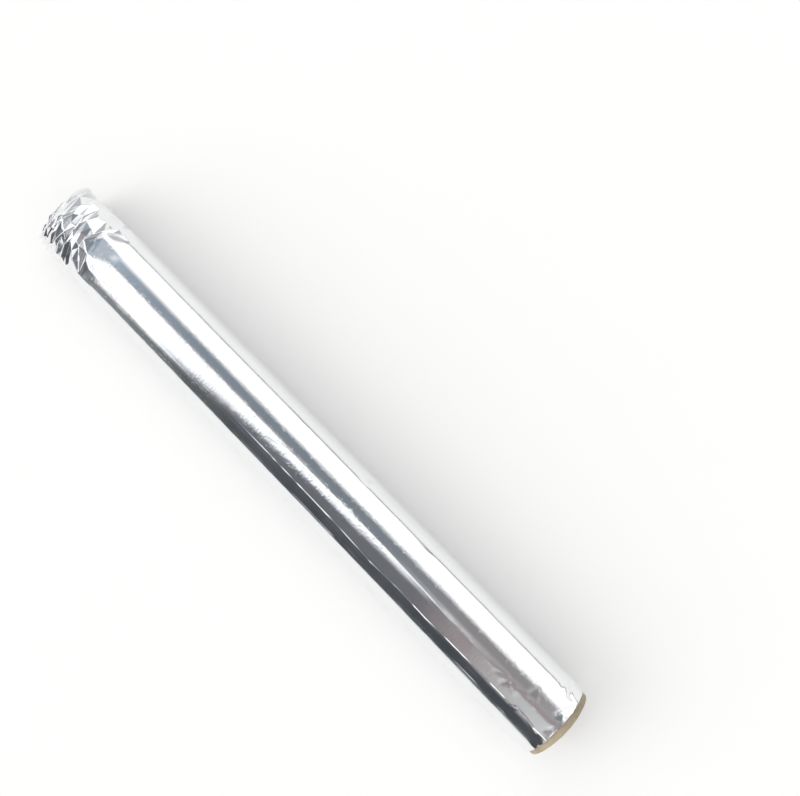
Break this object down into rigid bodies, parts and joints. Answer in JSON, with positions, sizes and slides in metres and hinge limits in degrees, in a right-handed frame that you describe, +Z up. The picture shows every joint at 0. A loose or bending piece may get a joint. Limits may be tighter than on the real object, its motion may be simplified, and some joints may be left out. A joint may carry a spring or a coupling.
{
  "type": "aluminium foil roll",
  "caption": "Roll of household aluminium foil on a cardboard core, core bare at one end, the outer turns crushed and tucked in at the other.",
  "frame": {"origin": "the middle of the roll's overall length, on the surface that it lies on, under the roll's axis", "axes": "+X along the roll's axis, towards the open end where the core shows; +Z up from the flat spot that the roll lies on"},
  "size_m": [0.318, 0.0349, 0.0348],
  "materials": {
    "core_cardboard": "matt brown board",
    "foil": "bright rolled foil, mirror-like with fine wrinkles"
  },
  "bodies": {
    "root": {"core_tube": "core_cardboard", "foil_roll": "foil"}
  },
  "joints": []
}
